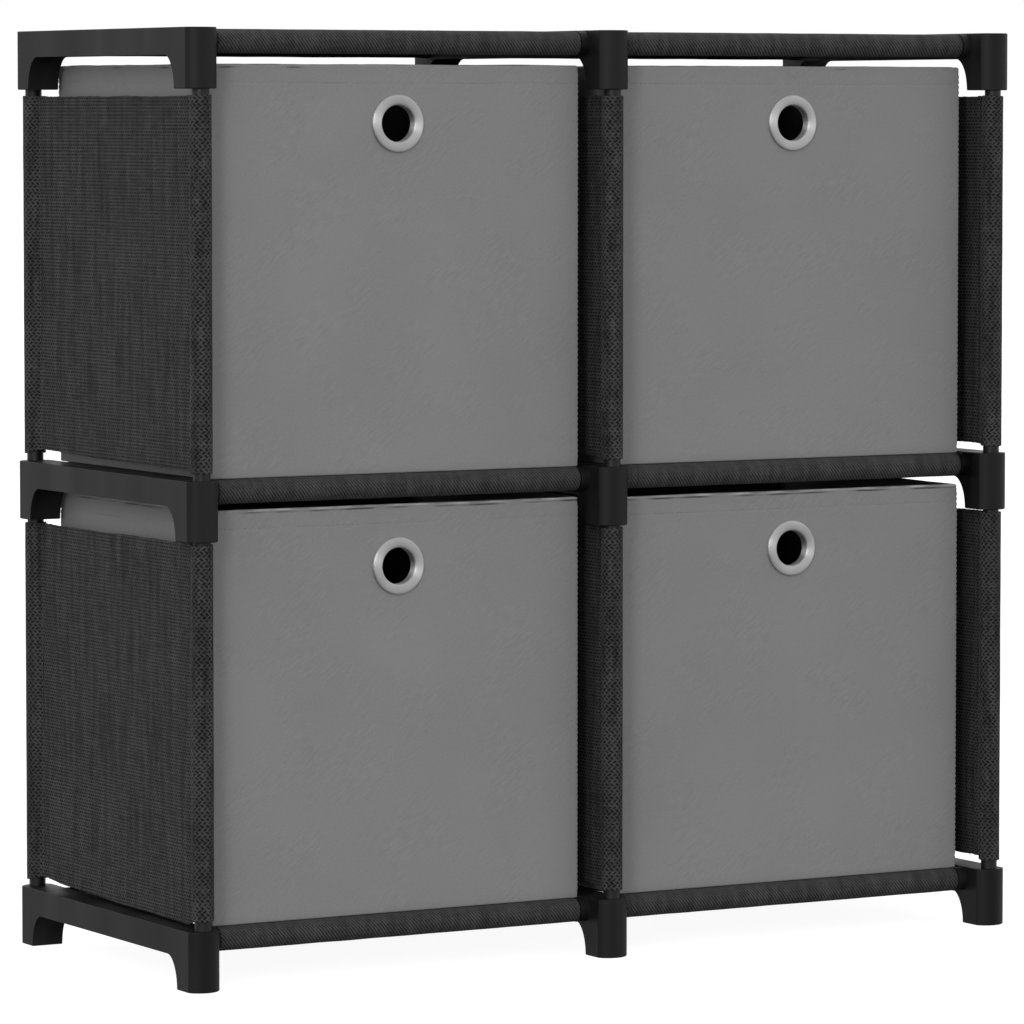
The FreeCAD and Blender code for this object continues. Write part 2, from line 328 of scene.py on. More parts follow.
def box_cloth():
    """Grey woven polyester: fine weave, short slanting drags, painted highlights on the rim and
    corners, painted shade in its crease.
    """
    s = Shading("box_cloth")
    cloth = s.cloth_position()
    parts = s.add("SeparateXYZ", Vector=cloth)
    warp = s.math("SINE", s.math("MULTIPLY", parts.outputs[0], math.tau / (1.1 * MM)))
    weft = s.math("SINE", s.math("MULTIPLY", parts.outputs[1], math.tau / (1.3 * MM)))
    weave = s.math("MULTIPLY", warp, weft)
    turned = s.add("VectorRotate", Vector=cloth, Axis=(0.0, 0.0, 1.0), Angle=math.radians(-38))
    drag = s.noise(s.stretched(turned.outputs[0], (95.0, 420.0, 1.0)), 1.0, 3.0, 0.6)
    patch = s.remap(s.noise(cloth, 22.0, 2.0), 0.42, 0.62, 0.15, 1.0, smooth=True)
    drag = s.math("MULTIPLY", s.math("SUBTRACT", drag, 0.5), patch)
    speck = s.noise(cloth, 560.0, 3.0, 0.65)
    broad = s.noise(cloth, 9.0, 2.0)
    mottled = s.math(
        "ADD", s.math("MULTIPLY", drag, 0.8),
        s.math("ADD", s.math("MULTIPLY", speck, 0.6), s.math("MULTIPLY", broad, 0.4)))
    tone = s.blend(
        s.remap(mottled, 0.36, 0.64, 0.0, 1.0), (0.196, 0.196, 0.197), (0.226, 0.226, 0.227))
    tone = s.blend(s.remap(weave, -1.0, 1.0, 0.0, 0.22), tone, (0.12, 0.12, 0.12))
    # Painted light from the fold attribute: a pale painted highlight on the rim's crest and the
    # corners, and dark painted shade in the rim's crease.
    painted_edge_light = s.add("Attribute")
    painted_edge_light.attribute_name = "fold"
    tone = s.blend(s.remap(painted_edge_light.outputs["Fac"], 0.0, 1.0, 0.0, 1.0), tone, (0.50, 0.50, 0.50))
    colour = s.blend(
        s.remap(painted_edge_light.outputs["Fac"], 0.0, -1.0, 0.0, 1.0), tone, (0.015, 0.015, 0.015))
    height = s.math(
        "ADD", s.math("MULTIPLY", weave, 0.08),
        s.math("ADD", s.math("MULTIPLY", drag, 1.5), s.math("MULTIPLY", speck, 0.35)))
    return s.finish(
        Base_Color=colour, Roughness=0.88, Sheen_Weight=0.08, Sheen_Roughness=0.5,
        Normal=s.relief(height, 0.30 * MM, 0.5))


def lining_cloth():
    """Black non-woven lining with a pressed diamond pattern."""
    s = Shading("lining_cloth")
    cloth = s.cloth_position()
    parts = s.add("SeparateXYZ", Vector=cloth)
    across = s.math("MULTIPLY", parts.outputs[0], math.tau / (2.6 * MM))
    up = s.math("MULTIPLY", parts.outputs[1], math.tau / (2.6 * MM))
    pressed = s.remap(
        s.math("MULTIPLY", s.math("COSINE", across), s.math("COSINE", up)),
        0.3, 0.8, 0.0, 1.0, smooth=True)
    fibre = s.noise(cloth, 1400.0, 4.0, 0.7)
    tone = s.blend(fibre, (0.032, 0.032, 0.032), (0.060, 0.060, 0.060))
    colour = s.blend(pressed, tone, (0.020, 0.020, 0.020))
    height = s.math("ADD", s.math("MULTIPLY", pressed, -0.7), s.math("MULTIPLY", fibre, 0.5))
    return s.finish(
        Base_Color=colour, Roughness=0.9, Sheen_Weight=0.05,
        Normal=s.relief(height, 0.2 * MM, 0.6))


def thread(name, colour):
    """Twisted sewing thread."""
    s = Shading(name)
    place = s.object_position()
    twist = s.noise(place, 2600.0, 2.0)
    dull = tuple(0.55 * part for part in colour)
    return s.finish(
        Base_Color=s.blend(twist, dull, colour), Roughness=0.6, Sheen_Weight=0.2,
        Normal=s.relief(twist, 0.1 * MM, 0.6))


def satin_metal():
    """Satin nickel-plated steel, spun about its own axis so that its scratches run round it."""
    s = Shading("satin_metal")
    place = s.object_position()
    scratch = s.noise(place, 1800.0, 3.0, 0.6)
    cloud = s.noise(place, 120.0, 3.0)
    spun = s.add("Tangent")
    spun.direction_type = "RADIAL"
    spun.axis = "Y"
    colour = s.blend(cloud, (0.45, 0.45, 0.452), (0.52, 0.52, 0.522))
    rough = s.math("ADD", s.remap(scratch, 0.3, 0.7, 0.36, 0.44), s.math("MULTIPLY", cloud, 0.04))
    return s.finish(
        Base_Color=colour, Metallic=1.0, Roughness=rough, Anisotropic=0.95,
        Anisotropic_Rotation=0.25, Tangent=spun.outputs[0],
        Normal=s.relief(scratch, 0.01 * MM, 0.3))


def cardboard():
    """Pressed board inside the box walls."""
    s = Shading("cardboard")
    place = s.object_position()
    fibre = s.noise(s.stretched(place, (200.0, 200.0, 700.0)), 1.0, 4.0)
    colour = s.blend(fibre, (0.20, 0.14, 0.08), (0.33, 0.24, 0.15))
    return s.finish(
        Base_Color=colour, Roughness=0.85, Normal=s.relief(fibre, 0.1 * MM, 0.5))


def floor_paint():
    """Plain white studio floor, bright of its own so that only soft shadows show on it."""
    s = Shading("floor_paint")
    mottle = s.noise(s.object_position(), 3.0, 2.0)
    colour = s.blend(mottle, (0.19, 0.19, 0.19), (0.21, 0.21, 0.21))
    return s.finish(
        Base_Color=colour, Roughness=1.0, Emission_Color=(1.0, 1.0, 1.0, 1.0),
        Emission_Strength=0.93)


PLASTIC = moulded_plastic()
STEEL = painted_steel()
PANEL_CLOTH = mesh_cloth(
    "panel_cloth", (4.05 * MM, 5.15 * MM), (0.021, 0.021, 0.0215), (0.058, 0.058, 0.059), 0.0, 0.9)
SHELF_CLOTH = mesh_cloth(
    "shelf_cloth", (2.8 * MM, 3.3 * MM), (0.036, 0.036, 0.0365), (0.062, 0.062, 0.063), 0.8, 0.7)
BOX_CLOTH = box_cloth()
LINING_CLOTH = lining_cloth()
BLACK_THREAD = thread("black_thread", (0.035, 0.035, 0.036))
GREY_THREAD = thread("grey_thread", (0.25, 0.25, 0.25))
METAL = satin_metal()
BOARD = cardboard()


# Mesh helpers ---------------------------------------------------------------

def new_piece(name, points, faces, material, cloth=None, fold=None):
    """A smooth-shaded mesh object.

    Cloth holds each vertex's place on the flat cloth, and fold says where a painted highlight
    lies pale on a fold (up to 1) and painted shade lies dark in a crease (down to -1).
    """
    mesh = bpy.data.meshes.new(name)
    mesh.from_pydata([tuple(point) for point in points], [], faces)
    if cloth is not None:
        attribute = mesh.attributes.new("cloth", "FLOAT_VECTOR", "POINT")
        attribute.data.foreach_set("vector", np.asarray(cloth, np.float32).ravel())
    if fold is not None:
        attribute = mesh.attributes.new("fold", "FLOAT", "POINT")
        attribute.data.foreach_set("value", np.asarray(fold, np.float32))
    mesh.materials.append(material)
    mesh.polygons.foreach_set("use_smooth", [True] * len(mesh.polygons))
    piece = bpy.data.objects.new(name, mesh)
    bpy.context.scene.collection.objects.link(piece)
    return piece


def grid_faces(rows, columns, closed=False):
    """Quads between rows of points; closed joins each row's last point to its first."""
    faces = []
    for row in range(rows - 1):
        for column in range(columns if closed else columns - 1):
            after = (column + 1) % columns
            start = row * columns
            above = start + columns
            faces.append((start + column, start + after, above + after, above + column))
    return faces


def thicken(piece, thickness, offset=0.0):
    modifier = piece.modifiers.new("thickness", "SOLIDIFY")
    modifier.thickness = thickness
    modifier.offset = offset
    modifier.use_even_offset = True


def wave(*place):
    """Smooth noise from about -1 to 1 at a point given by up to three numbers."""
    return noise.noise(Vector((*place, 0.0, 0.0)[:3]))


def steps(start, end, step):
    """Evenly spaced numbers, ends included, about a step apart."""
    return np.linspace(start, end, max(2, round(abs(end - start) / step) + 1))


def stitch_points(start, end, facing):
    """Rings of one short rounded thread, halfway from one needle hole to the next."""
    along = end - start
    pitch = along.length
    along.normalize()
    side = along.cross(facing).normalized()
    out = side.cross(along)
    middle = start + along * (pitch / 2)
    points = []
    for place, width in STITCH_RINGS:
        lift = STITCH_RADIUS * (0.55 - 2.6 * place * place)
        centre = middle + along * (place * STITCH_LENGTH) + out * lift
        radius = STITCH_RADIUS * max(width, 0.25)
        for turn in range(STITCH_SIDES):
            angle = math.tau * turn / STITCH_SIDES
            across = side * (radius * math.cos(angle))
            points.append(centre + across + out * (radius * math.sin(angle)))
    return points


def stitching(name, lines, material):
    """Threads along lines. Each line is its needle holes and the way that the cloth faces there."""
    points = []
    faces = []
    for holes, facings in lines:
        for start, end, facing in zip(holes, holes[1:], facings):
            first = len(points)
            points += stitch_points(Vector(start), Vector(end), Vector(facing))
            for face in grid_faces(len(STITCH_RINGS), STITCH_SIDES, closed=True):
                faces.append(tuple(first + corner for corner in face))
            last = len(points) - STITCH_SIDES
            faces.append(tuple(range(first + STITCH_SIDES - 1, first - 1, -1)))
            faces.append(tuple(range(last, len(points))))
    return new_piece(name, points, faces, material)


def lengths_along(points):
    gaps = np.linalg.norm(np.diff(points, axis=0), axis=1)
    return np.concatenate([[0.0], np.cumsum(gaps)])


# Fabric panels --------------------------------------------------------------

class SleevedPanel:
    """A sheet of cloth between two parallel tubes, with a sleeve round each.

    Its section runs from flap end to flap end. In it, along goes from the first tube's axis to
    the second's, and across is the distance from the plane through both. The sheet between the
    sleeves lies across by lift, in radii of the sleeve.
    """

    def __init__(self, node, outer, span, lift):
        self.node = node
        self.span = span
        self.radius = outer - CLOTH_THICKNESS / 2
        self.seam = self.radius * SEAM_AT
        sheet_at = lift * self.radius
        sleeve = self.sleeve_section(sheet_at)
        sheet = [(along, sheet_at) for along in steps(self.seam, span - self.seam, CLOTH_STEP)]
        mirrored = [(span - along, across) for along, across in reversed(sleeve)]
        self.section = np.array(sleeve + sheet + mirrored)
        self.lengths = lengths_along(self.section)
        self.share = np.clip(self.section[:, 0] / span, 0.0, 1.0)
        self.in_sheet = np.zeros(len(self.section))
        self.in_sheet[len(sleeve):len(self.section) - len(sleeve)] = 1.0
        self.points = []
        self.cloth = []

    def sleeve_section(self, sheet_at):
        """The first flap and its sleeve, up to where the sheet is sewn to the flap."""
        flap_at = sheet_at - SEAM_LAYER_GAP

        def tangent(across, side):
            reach = math.hypot(self.seam, across)
            return math.atan2(across, self.seam) + side * math.acos(self.radius / reach)

        flap = steps(self.seam + FLAP_LENGTH, self.seam, CLOTH_STEP)
        points = [(along, flap_at) for along in flap]
        for angle in np.linspace(
                tangent(flap_at, -1), tangent(sheet_at, 1) - math.tau, SLEEVE_POINTS):
            points.append((self.radius * math.cos(angle), self.radius * math.sin(angle)))
        return points

    def add(self, point, cloth):
        self.points.append(point)
        self.cloth.append(cloth)

    def seam_places(self):
        """Where the stitches lie in the section: along, the side that they face, and across."""
        seam = self.seam + SEAM_MARGIN
        for along in (seam, self.span - seam):
            for side, gap in ((1.0, 0.0), (-1.0, SEAM_LAYER_GAP)):
                yield along, side, side * (CLOTH_THICKNESS / 2 + gap)

    def sew(self, material, seam_lines):
        """Makes the cloth and its stitching, which belong to the rack."""
        columns = len(self.section)
        faces = grid_faces(len(self.points) // columns, columns)
        piece = new_piece(self.node + "_cloth", self.points, faces, material, self.cloth)
        thicken(piece, CLOTH_THICKNESS)
        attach(piece, "rack")
        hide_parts(self.node)
        seams = stitching(self.node + "_stitching", seam_lines, BLACK_THREAD)
        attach(seams, "rack")


def row_places(length):
    """Distances of a panel's rows of points from its first edge, closer near both edges."""
    middle = steps(ROWS_NEAR_EDGE[-1], length - ROWS_NEAR_EDGE[-1], ROW_STEP)[1:-1]
    return [*ROWS_NEAR_EDGE, *middle, *(length - place for place in reversed(ROWS_NEAR_EDGE))]


def cut_edge(place, seed):
    """How far a cut edge strays: slow drift, and small scallops from yarn to yarn."""
    return EDGE_DRIFT * wave(place * 24.0, seed) + EDGE_SCALLOP * wave(place * 330.0, seed)


def side_panel(column, storey):
    """Upright panel of mesh cloth, with its sleeves on the front and rear uprights."""
    node = f"side_panel_{column}_{storey}"
    low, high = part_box(node)
    outer = (high.x - low.x) / 2
    plane = (low.x + high.x) / 2
    front = low.y + outer
    height = high.z - low.z
    inward = -1.0 if column == "right" else 1.0
    panel = SleevedPanel(node, outer, high.y - low.y - 2 * outer, lift=0.0)
    beyond_sleeve = np.minimum(panel.section[:, 0], panel.span - panel.section[:, 0]) - panel.radius
    flatness = np.clip(beyond_sleeve / (5 * MM), 0.0, 1.0)
    drifts = edge_drifts(column, storey, panel.share)
    seed = 10.0 * COLUMNS.index(column) + 3.0 * STOREYS.index(storey)
    for place in row_places(height):
        row = side_panel_row(panel, drifts, place, height, seed)
        for index, (bulge, stray) in enumerate(row):
            y = front + panel.section[index][0]
            z = low.z + place + stray
            panel.add((plane - inward * bulge, y, z), (panel.lengths[index], z, flatness[index]))

    rows = steps(low.z + PANEL_SEAM_END, high.z - PANEL_SEAM_END, STITCH_PITCH)
    lines = []
    for along, side, across in panel.seam_places():
        holes = [(plane - inward * across, front + along, z) for z in rows]
        lines.append((holes, [(-inward * side, 0.0, 0.0)] * len(rows)))
    panel.sew(
        PANEL_CLOTH,
        lines)


def edge_drifts(column, storey, share):
    """How far a side panel's bottom and top edges stray at each share of its depth."""
    bottom = LEFT_LOWER_EDGE if (column, storey) == ("left", "lower") else BOTTOM_EDGE[storey]
    return np.interp(share, *bottom) * MM, np.interp(share, *TOP_EDGE[storey]) * MM


def side_panel_row(panel, drifts, place, height, seed):
    """How far each point of a row stands out from the tubes' plane, and strays up."""
    from_bottom = max(0.0, 1.0 - place / PANEL_EDGE_REACH)
    from_top = max(0.0, 1.0 - (height - place) / PANEL_EDGE_REACH)
    belly = math.sin(math.pi * place / height)
    row = []
    for index, (along, across) in enumerate(panel.section):
        length = panel.lengths[index]
        stray = from_bottom * (drifts[0][index] + cut_edge(length, seed))
        stray += from_top * (drifts[1][index] + cut_edge(length, seed + OTHER_EDGE))
        fold = panel.in_sheet[index] * math.sin(math.pi * panel.share[index]) * (
            PANEL_WAVE * belly * wave(along * 5.0, place * 4.0, seed)
            + PANEL_RIPPLE * wave(along * 22.0, place * 9.0, seed))
        in_sleeve = 1.0 - panel.in_sheet[index]
        slack = in_sleeve * PANEL_SLEEVE_SLACK * wave(along * 90.0, place * 40.0, seed)
        row.append((across + fold + math.copysign(slack, across), stray))
    return row


def shelf(bay, level):
    """Level panel of heavier cloth, with its sleeves on the front and rear rails."""
    node = f"shelf_{bay}_{level}"
    low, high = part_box(node)
    outer = (high.z - low.z) / 2
    axis = (low.z + high.z) / 2
    front = low.y + outer
    width = high.x - low.x
    panel = SleevedPanel(node, outer, high.y - low.y - 2 * outer, lift=1.0)
    seed = 50.0 + 7.0 * BAYS.index(bay) + 2.0 * LEVELS.index(level)
    for place in row_places(width):
        at_start = max(0.0, 1.0 - place / SHELF_EDGE_REACH)
        at_end = max(0.0, 1.0 - (width - place) / SHELF_EDGE_REACH)
        for index, (along, across) in enumerate(panel.section):
            length = panel.lengths[index]
            stray = at_start * cut_edge(length, seed) * SHELF_EDGE_SHARE
            stray += at_end * cut_edge(length, seed + OTHER_EDGE) * SHELF_EDGE_SHARE
            dip = panel.in_sheet[index] * math.sin(math.pi * panel.share[index]) * (
                SHELF_SAG[level] - SHELF_RIPPLE * wave(along * 14.0, place * 14.0, seed))
            in_sleeve = 1.0 - panel.in_sheet[index]
            slack = in_sleeve * SHELF_SLEEVE_SLACK * wave(along * 90.0, place * 40.0, seed)
            x = low.x + place + stray
            panel.add((x, front + along + slack, axis + across - dip + slack), (x, -length, 0.0))

    columns = steps(low.x + PANEL_SEAM_END, high.x - PANEL_SEAM_END, STITCH_PITCH)
    lines = []
    for along, side, across in panel.seam_places():
        dip = SHELF_SAG[level] * math.sin(math.pi * along / panel.span)
        holes = [(x, front + along, axis + panel.radius - dip + across) for x in columns]
        lines.append((holes, [(0.0, 0.0, side)] * len(columns)))
    panel.sew(
        SHELF_CLOTH,
        lines)


# Boxes ----------------------------------------------------------------------

def side_places(length):
    """Distances along one side of a box between its rounded corners."""
    near = [0.0, 1.0 * MM, 2.6 * MM]
    cells = 2 * round((length - 2 * near[-1]) / BOX_CELL / 2)
    middle = np.linspace(near[-1], length - near[-1], cells + 1)[1:-1]
    return [*near, *middle, *(length - place for place in reversed(near))]


def wall_loop(low, high, inset):
    """Points and outward normals round a box's walls, seen from above, from the front left.

    The number of points doesn't depend on inset, so loops can be joined row to row.
    """
    width = high.x - low.x
    depth = high.y - low.y
    radius = BOX_CORNER_RADIUS
    points = []
    normals = []
    sides = (
        ((low.x, low.y), (1.0, 0.0), width), ((high.x, low.y), (0.0, 1.0), depth),
        ((high.x, high.y), (-1.0, 0.0), width), ((low.x, high.y), (0.0, -1.0), depth))
    for (x, y), (ax, ay), length in sides:
        nx, ny = ay, -ax
        straight = length - 2 * radius
        squeeze = (length - 2 * inset - 2 * radius) / straight
        for place in side_places(straight):
            along = length / 2 + (place - straight / 2) * squeeze
            points.append((x + ax * along - nx * inset, y + ay * along - ny * inset))
            normals.append((nx, ny))
        centre_x = x + ax * (length - inset - radius) - nx * (inset + radius)
        centre_y = y + ay * (length - inset - radius) - ny * (inset + radius)
        for step in range(1, CORNER_STEPS):
            angle = math.atan2(ny, nx) + math.pi / 2 * step / CORNER_STEPS
            normals.append((math.cos(angle), math.sin(angle)))
            points.append((
                centre_x + radius * math.cos(angle), centre_y + radius * math.sin(angle)))
    return points, normals


class Tub:
    """A fabric box open at the top: walls with a round hole for the eyelet, and a floor.

    Rows go from the floor's edge up the walls, each (inset, height, relief), where
    relief(u, z) gives how far the cloth stands out and up, and its painted light: a painted
    highlight up to 1, painted shade down to -1. Hole is the centre of the hole, with its
    height measured from the floor.
    """

    def __init__(self, low, high, rows, hole, seed):
        self.low = low
        self.high = high
        self.rows = rows
        self.hole = hole
        self.seed = seed
        self.loops = [wall_loop(low, high, inset) for inset, _, _ in rows]
        self.columns = len(self.loops[0][0])
        self.points = []
        self.cloth = []
        self.fold = []
        self.faces = []
        self.raise_walls()
        self.close_round_hole()
        self.lay_floor()

    def raise_walls(self):
        outline = self.loops[-1][0]
        places = lengths_along(np.array(outline + outline[:1]))
        run = 0.0
        before = self.rows[0]
        for row, (loop, normals) in zip(self.rows, self.loops):
            inset, height, relief = row
            run += math.hypot(inset - before[0], height - before[1])
            before = row
            for (x, y), (nx, ny), u in zip(loop, normals, places):
                out, up, edge_light_mask = relief(u, height)
                out *= self.relief_share(x, y, height)
                self.points.append((x + nx * out, y + ny * out, self.low.z + height + up))
                self.cloth.append((u, run, self.seed))
                # The fold value is painted light: the relief's painted highlight and shade, plus a
                # painted highlight on the rounded corners.
                self.fold.append(edge_light_mask + (CORNER_HIGHLIGHT if abs(nx * ny) > 0.01 else 0.0))

    def relief_share(self, x, y, height):
        """How freely the cloth stands out. The eyelet holds it flat round itself."""
        if y >= self.hole.y + FRONT_DEPTH:
            return 1.0
        away = math.hypot(x - self.hole.x, height - self.hole.z)
        return min(1.0, max(0.0, (away - EYELET_CALM) / EYELET_FADE))

    def window(self):
        """The bottom and top row, and left and right column, that frame the round hole."""
        reach = HOLE_REACH + 1e-6
        rows = [
            index for index, (_, height, _) in enumerate(self.rows)
            if abs(height - self.hole.z) < reach]
        columns = [
            index for index, (x, y) in enumerate(self.loops[WALL_ROW][0])
            if abs(x - self.hole.x) < reach and y < self.hole.y + FRONT_DEPTH]
        return rows[0], rows[-1], columns[0], columns[-1]

    def close_round_hole(self):
        """Faces of the walls without the window's, then rings from its frame to the hole."""
        bottom, top, left, right = self.window()
        for index, face in enumerate(grid_faces(len(self.rows), self.columns, closed=True)):
            row, column = divmod(index, self.columns)
            if not (bottom <= row < top and left <= column < right):
                self.faces.append(face)
        edge = [(bottom, column) for column in range(left, right)]
        edge += [(row, right) for row in range(bottom, top)]
        edge += [(top, column) for column in range(right, left, -1)]
        edge += [(row, left) for row in range(top, bottom, -1)]
        frame_edge = [row * self.columns + column for row, column in edge]
        ring = frame_edge
        for share in HOLE_RINGS:
            inner = self.hole_ring(frame_edge, share)
            self.join(ring, inner)
            ring = inner

    def hole_ring(self, frame_edge, share):
        """Points at a share of the way from the window's frame to the round hole."""
        flat_y = self.points[frame_edge[0]][1]
        centre_z = self.low.z + self.hole.z
        ring = []
        for corner in frame_edge:
            x, y, z = self.points[corner]
            u, v, _ = self.cloth[corner]
            angle = math.atan2(z - centre_z, x - self.hole.x)
            right = share * (self.hole.x + HOLE_RADIUS * math.cos(angle) - x)
            up = share * (centre_z + HOLE_RADIUS * math.sin(angle) - z)
            ring.append(len(self.points))
            self.points.append((x + right, y + share * (flat_y - y), z + up))
            self.cloth.append((u + right, v + up, self.seed))
        return ring

    def lay_floor(self):
        """Rings from the walls' lowest row to the middle, and one face inside the last."""
        floor_z = self.points[0][2]
        ring = list(range(self.columns))
        for inset in FLOOR_RINGS:
            loop, _ = wall_loop(self.low, self.high, inset)
            first = len(self.points)
            for x, y in loop:
                self.points.append((x, y, floor_z))
                self.cloth.append((x, y, self.seed))
            inner = list(range(first, len(self.points)))
            self.join(inner, ring)
            ring = inner
        self.faces.append(tuple(reversed(ring)))

    def join(self, first, second):
        """Faces between two closed rings of points."""
        for index in range(len(first)):
            after = (index + 1) % len(first)
            self.faces.append((first[index], first[after], second[after], second[index]))

    def piece(self, name, material):
        fold = self.fold + [0.0] * (len(self.points) - len(self.fold))
        return new_piece(name, self.points, self.faces, material, self.cloth, fold)


def flat(u, z):
    """The relief of cloth that lies plain."""
    return 0.0, 0.0, 0.0


def rounded_edge(inset, floor, radius):
    """Rows round the edge between a box's floor and its walls."""
    rows = []
    for angle in (90.0, 60.0, 30.0, 0.0):
        turn = math.radians(angle)
        rows.append((
            inset + radius * (1 - math.cos(turn)), floor + radius * (1 - math.sin(turn)), flat))
    return rows


def cover_rows(height, seed, rim_painted_light):
    """The cover's rows: floor edge, outer wall, stitched hem, creased rim and its bead."""

    def wall(u, z):
        drape = 0.35 * MM * wave(u * 13.0, z * 13.0, seed)
        gathered = math.exp(-(height - z) / (22 * MM))
        drape += 0.22 * MM * gathered * wave(u * 22.0, z * 190.0, seed)
        ripple = 0.12 * MM * wave(u * 60.0, z * 34.0, seed)
        from_hem = z - (height - HEM_AT)
        pucker = 0.22 * MM * math.exp(-(from_hem / (3.5 * MM)) ** 2) * wave(u * 170.0, seed)
        groove = 0.18 * MM * math.exp(-(from_hem / (0.7 * MM)) ** 2)
        above_edge = min(1.0, z / (12 * MM))
        return above_edge * (drape + ripple) + pucker - groove, 0.0, 0.0

    def rim_up(u):
        return 0.55 * MM * wave(u * 11.0, seed) + 0.2 * MM * wave(u * 70.0, seed)

    # The crease's fold value is painted shade, darker where the crease opens.
    def crease(u, z):
        openness = 3.2 * wave(u * 37.0, seed + 4.0) + 3.0 * rim_painted_light - 1.2
        open_share = min(1.0, max(0.0, openness))
        return -0.8 * MM * open_share, rim_up(u), -0.8 * open_share

    def bead(u, z):
        return 0.3 * MM * wave(u * 40.0, seed), rim_up(u), 0.0

    # The crest's fold value is a painted highlight in dashes, scaled by the rim's painted light.
    def crest(u, z):
        out, up, _ = bead(u, z)
        return out, up, rim_painted_light * max(0.0, 0.45 + 2.2 * wave(u * 60.0, seed + 2.0))

    rows = rounded_edge(0.0, 0.0, COVER_EDGE_RADIUS)
    hem = height - HEM_AT
    for z in steps(COVER_EDGE_RADIUS, hem - 4 * MM, BOX_CELL)[1:]:
        rows.append((0.0, z, wall))
    for offset in (-2.0, -0.9, 0.0, 0.9, 2.0, 4.5, 7.5):
        rows.append((0.0, hem + offset * MM, wall))
    crease_z = height - RIM_CREASE_AT
    for offset, relief in ((-1.6, bead), (-0.7, bead), (0.0, crease), (0.5, crease)):
        rows.append((0.0, crease_z + offset * MM, relief))
    for angle in (0.0, 25.0, 50.0, 75.0, 100.0, 125.0, 150.0, 180.0):
        turn = math.radians(angle)
        rows.append((
            RIM_WIDTH / 2 * (1 - math.cos(turn)), height - RIM_BEAD * (1 - math.sin(turn)),
            crest if 25.0 <= angle <= 125.0 else bead))
    for drop in (3.0, 4.6):
        rows.append((RIM_WIDTH, height - drop * MM, flat))
    return rows


def lining_rows(height, seed):
    """The lining's rows, from the floor's edge to its raw top just above the rim."""

    def wall(u, z):
        slack = max(0.0, min(1.0, z / (20 * MM), (height - z) / (20 * MM)))
        return slack * -0.5 * MM * (1 + wave(u * 20.0, z * 20.0, seed)) / 2, 0.0, 0.0

    def raw_edge(u, z):
        return 0.0, 0.5 * MM * wave(u * 17.0, seed + 6.0) + 0.2 * MM * wave(u * 90.0, seed), 0.0

    rows = rounded_edge(LINING_INSET, LINING_FLOOR, LINING_EDGE_RADIUS)
    for z in steps(LINING_FLOOR + LINING_EDGE_RADIUS, height - 3 * MM, 2 * BOX_CELL)[1:]:
        rows.append((LINING_INSET, z, wall))
    rows.append((LINING_INSET, height + LINING_RISE, raw_edge))
    return rows


def storage_box(bay, storey):
    """A box's cover, lining and visible stitches."""
    body = f"box_{bay}_{storey}"
    cover_node = f"box_cover_{bay}_{storey}"
    lining_node = f"box_lining_{bay}_{storey}"
    low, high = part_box(cover_node)
    if storey == "lower":
        high.z += RIM_RISE[bay]
    eyelet_low, eyelet_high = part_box(f"box_eyelet_{bay}_{storey}")
    middle = (eyelet_low + eyelet_high) / 2
    hole = Vector((middle.x, low.y, middle.z - low.z))
    height = high.z - low.z
    seed = 100.0 + 11.0 * BAYS.index(bay) + 5.0 * STOREYS.index(storey)

    rows = cover_rows(height, seed, RIM_PAINTED_LIGHT[storey])
    cover = Tub(low, high, rows, hole, seed).piece(cover_node + "_cloth", BOX_CLOTH)
    thicken(cover, COVER_THICKNESS, -1.0)
    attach(cover, body)
    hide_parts(cover_node)

    rows = lining_rows(height, seed)
    lining = Tub(low, high, rows, hole, seed).piece(lining_node + "_cloth", LINING_CLOTH)
    thicken(lining, LINING_THICKNESS)
    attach(lining, body)
    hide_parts(lining_node)

    lines = [hem_line(low, high), *corner_lines(low, high)]
    seams = stitching(cover_node + "_stitching", lines, GREY_THREAD)
    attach(seams, body)


def hem_line(low, high):
    """Where the hem is sewn, right round the box, in the bottom of its groove."""
    loop, normals = wall_loop(low, high, 0.25 * MM)
    closed = np.array(loop + loop[:1])
    facing = np.array(normals + normals[:1])
    lengths = lengths_along(closed)
    places = steps(0.0, lengths[-1], STITCH_PITCH)
    x, y = (np.interp(places, lengths, closed[:, axis]) for axis in (0, 1))
    nx, ny = (np.interp(places, lengths, facing[:, axis]) for axis in (0, 1))
    heights = np.full(len(places), high.z - HEM_AT)
    return list(zip(x, y, heights)), list(zip(nx, ny, np.zeros(len(places))))


def corner_lines(low, high):
    """Where the walls are sewn together, down each upright corner."""
    heights = steps(high.z - CORNER_SEAM_END, low.z + CORNER_SEAM_END, STITCH_PITCH)
    reach = BOX_CORNER_RADIUS * (1 - math.sqrt(0.5))
    lines = []
    for x, nx in ((low.x + reach, -1.0), (high.x - reach, 1.0)):
        for y, ny in ((low.y + reach, -1.0), (high.y - reach, 1.0)):
            lines.append(([(x, y, z) for z in heights], [(nx, ny, 0.0)] * len(heights)))
    return lines


def eyelet(bay, storey):
    """Set eyelet: a low flange with rolled edges, and the barrel that goes through the wall."""
    node = f"box_eyelet_{bay}_{storey}"
    low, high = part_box(node)
    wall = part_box(f"box_cover_{bay}_{storey}")[0].y
    centre = (low + high) / 2
    edge = (high.x - low.x) / 2
    section = [(EYELET_BORE, high.y)]
    for across, rise in FLANGE:
        section.append((EYELET_BORE + across * (edge - EYELET_BORE), wall + rise * (low.y - wall)))
    section += [(EYELET_BARREL, wall), (EYELET_BARREL, high.y)]
    points = []
    for turn in range(EYELET_TURNS):
        angle = math.tau * turn / EYELET_TURNS
        for radius, y in section:
            points.append((
                centre.x + radius * math.cos(angle), y, centre.z + radius * math.sin(angle)))
    columns = len(section)
    faces = grid_faces(EYELET_TURNS, columns, closed=True)
    last = (EYELET_TURNS - 1) * columns
    for column in range(columns):
        after = (column + 1) % columns
        faces.append((last + column, last + after, after, column))
    piece = new_piece(node + "_ring", points, faces, METAL)
    piece.data.set_sharp_from_angle(angle=math.radians(50))
    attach(piece, f"box_{bay}_{storey}")
    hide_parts(node)


